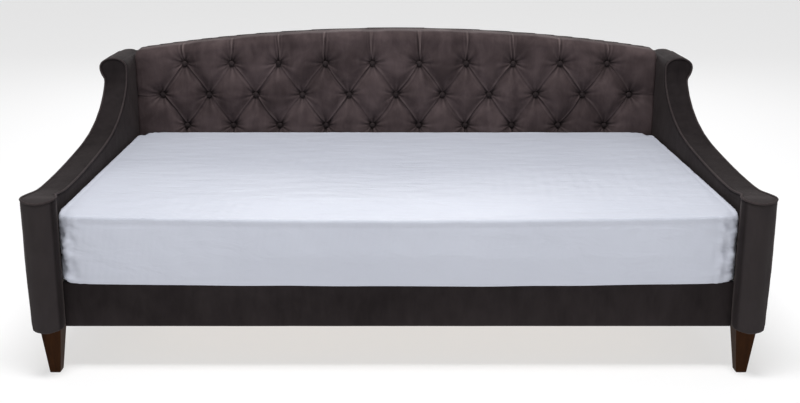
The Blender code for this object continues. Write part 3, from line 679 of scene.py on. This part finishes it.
def tufting(x, z):
    """How far the velvet lies behind the peaks of the diamonds, and where light and shade are painted on
    it: highlights on the lips, painted shade in the creases and dimples.
    """
    puff = np.ones(len(x))
    fold = np.zeros(len(x))
    painted_highlight_shade = np.zeros(len(x))
    for number, ends in enumerate(PLEATS):
        along, across, past = pleat_frame(number, ends, x, z)
        level = abs(ends[0][1] - ends[1][1]) < 0.001
        upright = abs(ends[0][0] - ends[1][0]) < 0.02
        middle = np.sin(np.clip(along, 0, 1) * math.pi)
        away = np.hypot(across, past)
        puff *= 1 - (0.35 if level else 0.8 if upright else 1.0) * bell(away, PUFF_REACH)
        here = bell(past, 0.006) * (0.28 if level else 0.88 if upright else 1.0)
        here = here * (0.70 + 0.30 * math.sin(number * 1.9 + 0.6))
        here = here * (1 - 0.35 * ease(along, 0.35, 1.0)) if upright else here * (1 - 0.58 * middle)
        below = np.exp(-np.maximum(-across, 0) / (0.0050 if upright else 0.0075))
        crease = np.where(across > 0, bell(np.maximum(across, 0), 0.0024), below)
        lip = bell(across - LIP_PLACE, 0.0024)
        apart = 0.004 + 0.010 * middle * abs(math.sin(number * 1.3 + 0.8))
        tail = bell(across + apart, 0.0030) * abs(math.cos(number * 0.9))
        rise = bell(across + apart - LIP_PLACE, 0.0030) * abs(math.cos(number * 0.9))
        fold += here * (CREASE * crease - LIP * lip + 0.0020 * tail - 0.0016 * rise)
        # Painted light and shade of the pleat: a highlight on the lip, painted shade in the crease, and a
        # weaker pair on the second fold.
        painted_highlight_shade += here * (1.05 * lip - 0.90 * bell(across + 0.0004, 0.0032) - 0.5 * tail + 0.5 * rise)
    depth = PUFF * (1 - puff) + fold
    for number, (bx, bz) in enumerate(BUTTONS):
        dx, dz = x - bx, z - bz
        near = np.hypot(dx, dz)
        close = near < 0.13
        angle = np.arctan2(dz[close], dx[close])
        gap = near[close]
        ray = np.sin(angle * 9 + number * 1.7) * 0.6 + np.sin(angle * 14 + number * 2.9) * 0.5
        reach = np.exp(-np.maximum(gap - 0.014, 0) / 0.027) * ease(gap, 0.008, 0.022)
        depth[close] += PULL * np.exp(-(gap / PULL_REACH) ** 1.5) + 0.0024 * ray * reach
        # Painted shade in the dimple round each button, strongest a little up and to the right of it, over
        # a fainter wider ring; the rays get painted light and shade.
        shade = 0.95 * bell(np.hypot(dx[close] - 0.003, dz[close] - 0.004), 0.0165)
        painted_highlight_shade[close] += 0.55 * ray * reach - shade - 0.25 * bell(gap, 0.034)
        seat = 1 - ease(gap, 0.0085, 0.0150)
        depth[close] = depth[close] * (1 - seat) + (SEAT + 0.0012) * seat
    return depth, np.clip(painted_highlight_shade, -1.0, 1.0)


# %% [markdown]
# The section of the back runs up the front, over a soft roll, back across the top, and returns
# under the top padding and down behind the pad, so that the cushion is a closed form.


# %% The back cushion
ROLL = 0.034
PROUD = 0.0035
HIDDEN_TOP = 0.44
HIDDEN_ROWS = 12
FRONT_ROWS = HIDDEN_ROWS + 180
ROLL_ROWS = 12
TOP_ROWS = 10
REAR_ROWS = 10
SEEN_ROWS = FRONT_ROWS + ROLL_ROWS + TOP_ROWS
BACK_ROWS = SEEN_ROWS + REAR_ROWS
BACK_COLUMNS = 660


def back_section(x, along):
    """Depth, height and row number on the section; along runs from 0 to 1 round it."""
    step = along * BACK_ROWS
    face = BACK_FRONT - PROUD
    top = arch(x)
    seam = top - ROLL
    t = np.clip(step / HIDDEN_ROWS, 0, 1)
    low_part = BACK_LOW + (HIDDEN_TOP - BACK_LOW) * t
    t = np.clip((step - HIDDEN_ROWS) / (FRONT_ROWS - HIDDEN_ROWS), 0, 1)
    z = np.where(step <= HIDDEN_ROWS, low_part, HIDDEN_TOP + (seam - HIDDEN_TOP) * t)
    angle = np.clip((step - FRONT_ROWS) / ROLL_ROWS, 0, 1) * math.pi / 2
    rolled = step > FRONT_ROWS
    y = np.where(rolled, face + ROLL * (1 - np.cos(angle)), face)
    z = np.where(rolled, seam + ROLL * np.sin(angle), z)
    t = np.clip((step - FRONT_ROWS - ROLL_ROWS) / TOP_ROWS, 0, 1)
    flat = step > FRONT_ROWS + ROLL_ROWS
    y = np.where(flat, face + ROLL + (TOP_REAR - face - ROLL) * t, y)
    z = np.where(flat, top - 0.006 * ease(t, 0.75, 1.0), z)
    under = step > SEEN_ROWS
    t = np.clip((step - SEEN_ROWS) / REAR_ROWS, 0, 1)
    stops = [0.0, 0.12, 0.30, 0.45, 0.60, 0.90, 1.0]
    y_path = [TOP_REAR, TOP_REAR, TOP_REAR - 0.02, BACK_REAR, BACK_REAR, BACK_REAR, face]
    lift = np.interp(t, stops, [-0.006, -TOP_PAD, -TOP_PAD, -TOP_PAD, -0.09, 0.0, 0.0])
    fixed = np.interp(t, stops, [0, 0, 0, 0, 0, 1, 1])
    y = np.where(under, np.interp(t, stops, y_path), y)
    z = np.where(under, (top + lift) * (1 - fixed) + BACK_LOW * fixed, z)
    return y, z, step


def back_shape(across, along):
    """The tufted cushion with its rolled top."""
    x = (across * 2 - 1) * BACK_HALF
    y, z, step = back_section(x, along)
    face = 1 - 0.82 * ease(step, FRONT_ROWS + 2, FRONT_ROWS + ROLL_ROWS + 2)
    face = face * (1 - ease(step, SEEN_ROWS - 8, SEEN_ROWS - 2))
    soft = (step > 0.5) & (step < SEEN_ROWS + 0.5)
    level = np.where(step > FRONT_ROWS, arch(x) - ROLL + (step - FRONT_ROWS) * 0.004, z)
    depth = tufting(x, level)[0]
    depth = np.where(soft, depth, 0.0) * face
    places = np.stack([x, np.zeros(len(x)), z], axis=1)
    crumple = 0.00055 * waves(places, 0.034, 5, 9) + 0.0009 * waves(places, 0.11, 6, 7)
    depth = depth + np.where(soft, crumple, 0.0) * (0.4 + 0.6 * face)
    end = BACK_HALF - np.abs(x)
    tuck = np.clip(1 - end / 0.013, 0, 1)
    depth = depth + np.where(soft, 0.010 * (1 - np.sqrt(1 - tuck ** 2)), 0.0)
    angle = np.clip((step - FRONT_ROWS) / ROLL_ROWS, 0, 1) * math.pi / 2
    return np.stack([x, y + depth * np.cos(angle), z - depth * np.sin(angle)], axis=1)


def make_back():
    """The tufted cushion, closed at its ends."""
    back = shaped_grid("back_tufted_cushion", BACK_COLUMNS, BACK_ROWS, back_shape)
    open_edit(back)
    bpy.ops.mesh.remove_doubles(threshold=0.0001)
    bpy.ops.mesh.select_all(action="DESELECT")
    bpy.ops.mesh.select_mode(type="EDGE")
    bpy.ops.mesh.select_non_manifold(extend=False, use_boundary=True, use_wire=False, use_verts=False,
                                     use_multi_face=False, use_non_contiguous=False)
    bpy.ops.mesh.edge_face_add()
    bpy.ops.mesh.select_all(action="SELECT")
    bpy.ops.mesh.normals_make_consistent(inside=False)
    bpy.ops.object.mode_set(mode="OBJECT")
    places = get_places(back)
    # The painted light and shade of the folds is stored on the points, on the front of the cushion only.
    painted_highlight_shade = tufting(places[:, 0], places[:, 2])[1] * (places[:, 1] < BACK_REAR - 0.012)
    layer = back.data.attributes.new("fold_painted_light_and_shade", "FLOAT", "POINT")
    layer.data.foreach_set("value", painted_highlight_shade.astype(np.float32))
    finish_piece(back, TUFTED_VELVET_PAINTED_LIGHT, "velvet", "back_tufted_pad", "back_top_pad", fill=0.75)


make_back()

# %% [markdown]
# ### Covered buttons
# A button is a metal shell covered in the same velvet: a low dome whose edge turns in sharply.
# One is modelled from a squashed ball, with the cloth pinched into faint gathers at the rim, and
# the others are copies of it.


# %% Buttons
def make_button_row(row):
    """One row of covered buttons, as one piece."""
    height, places = ROWS[row]
    depth = BACK_FRONT - PROUD + SEAT - 0.0018
    bpy.ops.object.select_all(action="DESELECT")
    bpy.ops.mesh.primitive_uv_sphere_add(segments=28, ring_count=14, radius=BUTTON_RADIUS)
    first = bpy.context.object
    first.name = first.data.name = "buttons_" + row
    ball = get_places(first)
    rim = np.hypot(ball[:, 0], ball[:, 1]) / BUTTON_RADIUS
    turn = np.arctan2(ball[:, 1], ball[:, 0])
    gather = 1 + 0.018 * np.sin(turn * 14) * rim ** 6
    rise = ball[:, 2] / BUTTON_RADIUS
    lift = np.where(rise > 0, 0.0056 * rise, 0.0018 * rise)
    full = rim ** 0.82
    shaped = np.stack([BUTTON_RADIUS * full * np.cos(turn) * gather, -lift - 0.0004,
                       BUTTON_RADIUS * full * np.sin(turn) * gather], axis=1)
    set_places(first, shaped)
    copies = [first]
    for x in places[1:]:
        copy = bpy.data.objects.new("button", first.data.copy())
        bpy.context.scene.collection.objects.link(copy)
        set_places(copy, get_places(copy) + np.array([x, depth, height]))
        copies.append(copy)
    set_places(first, shaped + np.array([places[0], depth, height]))
    join(copies)
    weld(first, 0.00001)
    finish_piece(first, BUTTON_VELVET_PAINTED_LIGHT, "velvet_button", "buttons_" + row + "_row")


for row in ROWS:
    make_button_row(row)

# %% [markdown]
# ## The arms
# Each arm is a board with wadding on both sides, a band of padding along its top and a roll on
# the scroll. The velvet is pulled over all of it at once, so one cover is made here from the
# padding solids, welded into one. It keeps the hollow in which the board sits. The panels are
# crowned a little, the edges are rounded, and slow waves take away the look of a machined part.


# %% Arm covers
CORE_IN = low("arm_frame_right")[0]
CORE_OUT = high("arm_frame_right")[0]


def make_arm(side):
    """The velvet cover of one arm with the padding under it."""
    sign = SIDES[side]
    nodes = [node + side for node in ("arm_top_pad_", "arm_inner_pad_", "arm_outer_pad_",
                                      "arm_roll_", "post_pad_")]
    arm = foam_from("arm_cover_" + side, *nodes)
    wrap(arm, 0.005, 3)
    places, ways = get_places(arm), get_ways(arm)
    x, y, z = np.abs(places[:, 0]), places[:, 1], places[:, 2]
    out = ways[:, 0] * sign
    hidden = (x > CORE_IN - 0.004) & (x < CORE_OUT + 0.004) & (np.abs(out) > 0.5)
    front = low("arm_top_pad_" + side)[1]
    crown = np.where(out > 0.6, 0.0030, np.where(out < -0.6, 0.0022, 0.0))
    crown = crown * ease(z, 0.27, 0.36) * ease(y, front + 0.10, front + 0.30)
    wave = 0.0009 * waves(places, 0.16, 11, 8) + 0.0004 * waves(places, 0.055, 12, 8)
    push = np.where(hidden, 0.0, crown + wave + 0.0006)
    set_places(arm, places + ways * push[:, None])
    finish_piece(arm, VELVET, "velvet", *nodes, fill=0.85)


def make_piping(side):
    """A cord in a bias strip, sewn along the corners of the band."""
    cord = foam_from("arm_piping_cord_" + side, "arm_piping_" + side)
    apply(cord, "SUBSURF", levels=1, render_levels=1)
    places, ways = get_places(cord), get_ways(cord)
    pucker = 0.00016 * np.sin(places @ np.array([520.0, 610.0, 560.0]))
    set_places(cord, places + ways * (pucker + 0.0005)[:, None])
    finish_piece(cord, PIPING_VELVET_PAINTED_LIGHT, "velvet_piping", "arm_piping_" + side)


for side in SIDES:
    make_arm(side)
    make_piping(side)

# %% [markdown]
# ## The outside back and the front rail
# The outside back is a flat panel of velvet over thin wadding, blind-stitched round its edge.
# The front rail is a board wrapped in velvet over felt, which hangs very slightly uneven. It is
# begun as a box, opened behind, thickened to a wall of cloth, and cut across so that it can wave.


# %% Outside back and front rail
def make_outside_back():
    """The rear panel, crowned a little between its stitched edges."""
    panel = foam_from("back_outside_panel", "back_outer_cover")
    wrap(panel, 0.007, 3)
    places, ways = get_places(panel), get_ways(panel)
    rear = ways[:, 1] > 0.5
    bow = 0.0016 * waves(places, 0.32, 21, 8) + 0.0005 * waves(places, 0.09, 22, 8)
    set_places(panel, places + ways * np.where(rear, bow - 0.001, 0.0)[:, None])
    finish_piece(panel, VELVET, "velvet", "back_outer_cover", fill=0.9)


RAIL_CLOTH = 0.0064


def make_rail():
    """The velvet on the front rail: a board-shaped sleeve, open behind."""
    lowest, highest = low("front_rail_cover"), high("front_rail_cover")
    bpy.ops.object.select_all(action="DESELECT")
    bpy.ops.mesh.primitive_cube_add(size=1.0)
    rail = bpy.context.object
    rail.name = rail.data.name = "front_rail_velvet"
    middle, size = (lowest + highest) / 2, highest - lowest
    size[0] += 0.005
    set_places(rail, get_places(rail) * size + middle)
    open_edit(rail, "FACE", "DESELECT")
    bpy.ops.object.mode_set(mode="OBJECT")
    for face in rail.data.polygons:
        face.select = face.normal.y > 0.5
    bpy.ops.object.mode_set(mode="EDIT")
    bpy.ops.mesh.delete(type="FACE")
    bpy.ops.mesh.select_all(action="SELECT")
    bpy.ops.mesh.normals_make_consistent(inside=False)
    bpy.ops.object.mode_set(mode="OBJECT")
    apply(rail, "SOLIDIFY", thickness=RAIL_CLOTH, offset=-1.0, use_even_offset=True)
    apply(rail, "BEVEL", width=0.0045, segments=3, limit_method="ANGLE")
    open_edit(rail, "FACE")
    for axis, cuts in ((0, 119), (2, 13)):
        way = np.eye(3)[axis]
        for place in np.linspace(lowest[axis], highest[axis], cuts + 2)[1:-1]:
            bpy.ops.mesh.select_all(action="SELECT")
            bpy.ops.mesh.bisect(plane_co=tuple(way * place), plane_no=tuple(way))
    bpy.ops.object.mode_set(mode="OBJECT")
    places = get_places(rail)
    outside = places[:, 1] < lowest[1] + 0.003
    wave = 0.0007 * waves(places, 0.22, 31, 8, (2.0, 1.0, 1.0)) + 0.0003 * waves(places, 0.06, 32, 8)
    places[:, 1] += np.where(outside, wave, 0.0)
    set_places(rail, places)
    finish_piece(rail, RAIL_VELVET_PAINTED_LIGHT, "velvet", "front_rail_cover", fill=0.9)


make_outside_back()
make_rail()

# %% [markdown]
# ## The mattress and its fitted sheet
# The mattress is a spring box with a quilted top and bottom and a straight border. It is the
# frame's own block, wrapped in a net and quilted in diamonds. Where people sit, the front edge
# has settled, and one helper gives that dip to the mattress and to the sheet over it alike.


# %% Mattress
def settle(places, lowest, highest):
    """A used mattress: its front edge dips and bulges towards the middle."""
    centre = (1 - (places[:, 0] / highest[0]) ** 2).clip(0, 1)
    near_front = 1 - ease(places[:, 1], lowest[1], lowest[1] + 0.20)
    upper = ease(places[:, 2], lowest[2] + 0.06, highest[2])
    places[:, 2] -= 0.011 * centre * near_front * upper
    nose = 1 - ease(places[:, 1], lowest[1], lowest[1] + 0.03)
    places[:, 1] -= 0.010 * centre * nose * ease(places[:, 2], lowest[2] - 0.002, lowest[2] + 0.09)
    return places


def make_mattress():
    """Quilted mattress: crowned diamonds on top and below, straight border."""
    mattress = foam_from("mattress_body", "mattress")
    wrap(mattress, 0.012, 4)
    places, ways = get_places(mattress), get_ways(mattress)
    x, y = places[:, 0], places[:, 1]
    quilt = np.abs(np.sin((x + y) * 21.0) * np.sin((x - y) * 21.0)) ** 0.35
    level = np.abs(ways[:, 2]) ** 2
    push = -0.0035 * (1 - quilt) * level - 0.0030
    lowest, highest = low("mattress"), high("mattress")
    set_places(mattress, settle(places + ways * push[:, None], lowest, highest))
    finish_piece(mattress, TICKING, "mattress_ticking", "mattress", body="mattress", fill=0.9)


# %% [markdown]
# ### The fitted sheet
# The sheet starts as the same box as the mattress, because it is stretched over it. It could be
# simulated as cloth; here it is shaped by rule, which is quick and the same each run: the corners
# are made squarer, the turn at the top is pinched into a ridge, and the underside is cut open.

# %% Sheet pulled to a box
MOUTH_INSET = 0.060


def square_up(places, lowest, highest, radius, power, axes):
    """Sharpen the round edges between two axes: a circle becomes a squarer curve."""
    middle = (lowest + highest) / 2
    half = (highest - lowest) / 2
    first, second = axes
    offset = places - middle
    inner = np.abs(offset) - (half - radius)
    a = np.clip(inner[:, first] / radius, 0, None)
    b = np.clip(inner[:, second] / radius, 0, None)
    both = (a > 0) & (b > 0)
    grow = np.where(both, np.hypot(a, b) / np.maximum((a ** power + b ** power), 1e-9) ** (1 / power), 1.0)
    for axis, part in ((first, a), (second, b)):
        moved = (half[axis] - radius) + part * radius * grow
        places[:, axis] = np.where(both, middle[axis] + np.sign(offset[:, axis]) * moved, places[:, axis])
    return places


def sheet_box(sheet, lowest, highest):
    """Pull the cloth into a box, with a fine ridge where it turns down."""
    places = square_up(get_places(sheet), lowest, highest, 0.080, 4.0, (0, 1))
    for axes in ((0, 2), (1, 2)):
        places = square_up(places, lowest, highest, 0.024, 6.0, axes)
    inset_x = highest[0] - np.abs(places[:, 0])
    inset_y = np.minimum(places[:, 1] - lowest[1], highest[1] - places[:, 1])
    rim = np.hypot(np.minimum(inset_x, inset_y) - 0.004, highest[2] - places[:, 2] - 0.004)
    ridge = 0.0036 * bell(rim, 0.0068)
    places[:, 2] += ridge
    places[:, 1] += ridge * (inset_y < 0.02) * (inset_x > 0.02) * np.sign(places[:, 1])
    set_places(sheet, settle(places, lowest, highest))


def open_mouth(sheet, lowest, highest):
    """Cut away the underside, but for the strip that the elastic holds."""
    places, ways = get_places(sheet), get_ways(sheet)
    inset_y = np.minimum(places[:, 1] - lowest[1], highest[1] - places[:, 1])
    inset = np.minimum(highest[0] - np.abs(places[:, 0]), inset_y)
    open_edit(sheet, "VERT", "DESELECT")
    bpy.ops.object.mode_set(mode="OBJECT")
    sheet.data.vertices.foreach_set("select", (ways[:, 2] < -0.8) & (inset > MOUTH_INSET))
    bpy.ops.object.mode_set(mode="EDIT")
    bpy.ops.mesh.delete(type="VERT")
    bpy.ops.object.mode_set(mode="OBJECT")


# %% [markdown]
# Stretched cloth never lies quite still. Across the top run long low ripples, with shorter ones
# aslant in patches. The sides hang in soft upright waves. At the corners the spare cloth is
# crushed and gathered by the elastic, and gathers are tightest at the hem.


# %% Ripples and gathers
def ripples(places, ways):
    """How far the top and the sides stand out in waves."""
    long_ripple = waves(places @ np.diag([0.5, 1.6, 1.0]), 0.085, 41, 9)
    slant_ripple = waves(places @ np.diag([1.3, 0.9, 1.0]), 0.050, 42, 9)
    patch = ease(waves(places, 0.55, 43, 6), -0.25, 0.5)
    hanging = waves(places @ np.diag([1.5, 1.5, 0.55]), 0.13, 44, 9)
    short = waves(places @ np.diag([2.2, 2.2, 0.8]), 0.05, 45, 9)
    top = np.clip(ways[:, 2], 0, 1) * (0.0013 * long_ripple + 0.0010 * slant_ripple * patch)
    return top + (1 - np.abs(ways[:, 2])) * (0.0023 * hanging + 0.0011 * short)


def corner_gathers(places, ways, lowest, highest):
    """How far the crushed cloth stands out at the four corners."""
    x, y, z = places.T
    edge = np.minimum(y - lowest[1], highest[1] - y)
    corner = ease(np.abs(x), highest[0] - 0.085, highest[0] - 0.020) * (1 - ease(edge, 0.050, 0.105))
    corner = corner * (1 - np.abs(ways[:, 2]))
    turn = np.arctan2(np.abs(y - (lowest[1] + highest[1]) / 2) - 0.415, np.abs(x) - (highest[0] - 0.08))
    gather = np.sin(turn * 15 + 2.0 * np.sin(x * 3))
    hang = 1 - 0.75 * ease(z, highest[2] - 0.11, highest[2] - 0.01)
    crush = 0.0095 * waves(places @ np.diag([1.0, 1.0, 1.5]), 0.060, 47, 9)
    crush += 0.0050 * waves(places @ np.diag([1.0, 1.0, 2.0]), 0.030, 48, 9)
    return corner * (0.0020 * gather * hang + crush)


# %% [markdown]
# The hem of the front drop sags over the rail, most in the middle. Everywhere else the sheet
# rests on the slats, and at the front corners it must stay behind the padded posts, whose inner
# face curves back from the front.

# %% Hem, posts and the whole sheet
POST_FACE = {
    "behind": [0.045, 0.056, 0.066, 0.0766, 0.088, 0.1066],
    "half_gap": [0.942, 0.9424, 0.9442, 0.9487, 0.9527, 0.9625],
}


def sag_hem(places, taut, lowest, highest):
    """Let the front hem sag; taut is where the cloth was before its ripples."""
    front = 1 - ease(places[:, 1], lowest[1] + 0.012, lowest[1] + 0.020)
    sag = 0.0105 * (1 - (np.abs(taut[:, 0]) / (highest[0] - 0.02)) ** 2).clip(0, 1) ** 0.7
    sag = sag + 0.0018 * waves(places, 0.20, 46, 7)
    places[:, 2] -= front * sag * (1 - ease(taut[:, 2], lowest[2] + 0.010, lowest[2] + 0.060))
    resting = low("fitted_sheet")[2] + 0.0012
    places[:, 2] = np.where(front < 0.5, np.maximum(places[:, 2], resting), places[:, 2])


def clear_of_posts(places):
    """Hold the cloth back from the padded posts."""
    behind = places[:, 1] - low("post_pad_left")[1]
    limit = np.interp(behind, POST_FACE["behind"], POST_FACE["half_gap"]) - 0.0024
    places[:, 0] = np.clip(places[:, 0], -limit, limit)


def make_sheet():
    """The fitted sheet with its ripples, corner gathers and soft hem."""
    sheet = foam_from("fitted_sateen_sheet", "mattress")
    lowest, highest = low("mattress"), high("mattress")
    wrap(sheet, 0.006, 2)
    sheet_box(sheet, lowest, highest)
    open_mouth(sheet, lowest, highest)
    taut, ways = get_places(sheet), get_ways(sheet)
    push = 0.0012 + ripples(taut, ways) + corner_gathers(taut, ways, lowest, highest)
    places = taut + ways * push[:, None]
    sag_hem(places, taut, lowest, highest)
    clear_of_posts(places)
    set_places(sheet, places)
    finish_piece(sheet, SATEEN, "sheet_satin", "fitted_sheet", body="mattress")


make_mattress()
make_sheet()

# %% [markdown]
# ## Last step

# %% Clear the selection
bpy.ops.object.select_all(action="DESELECT")
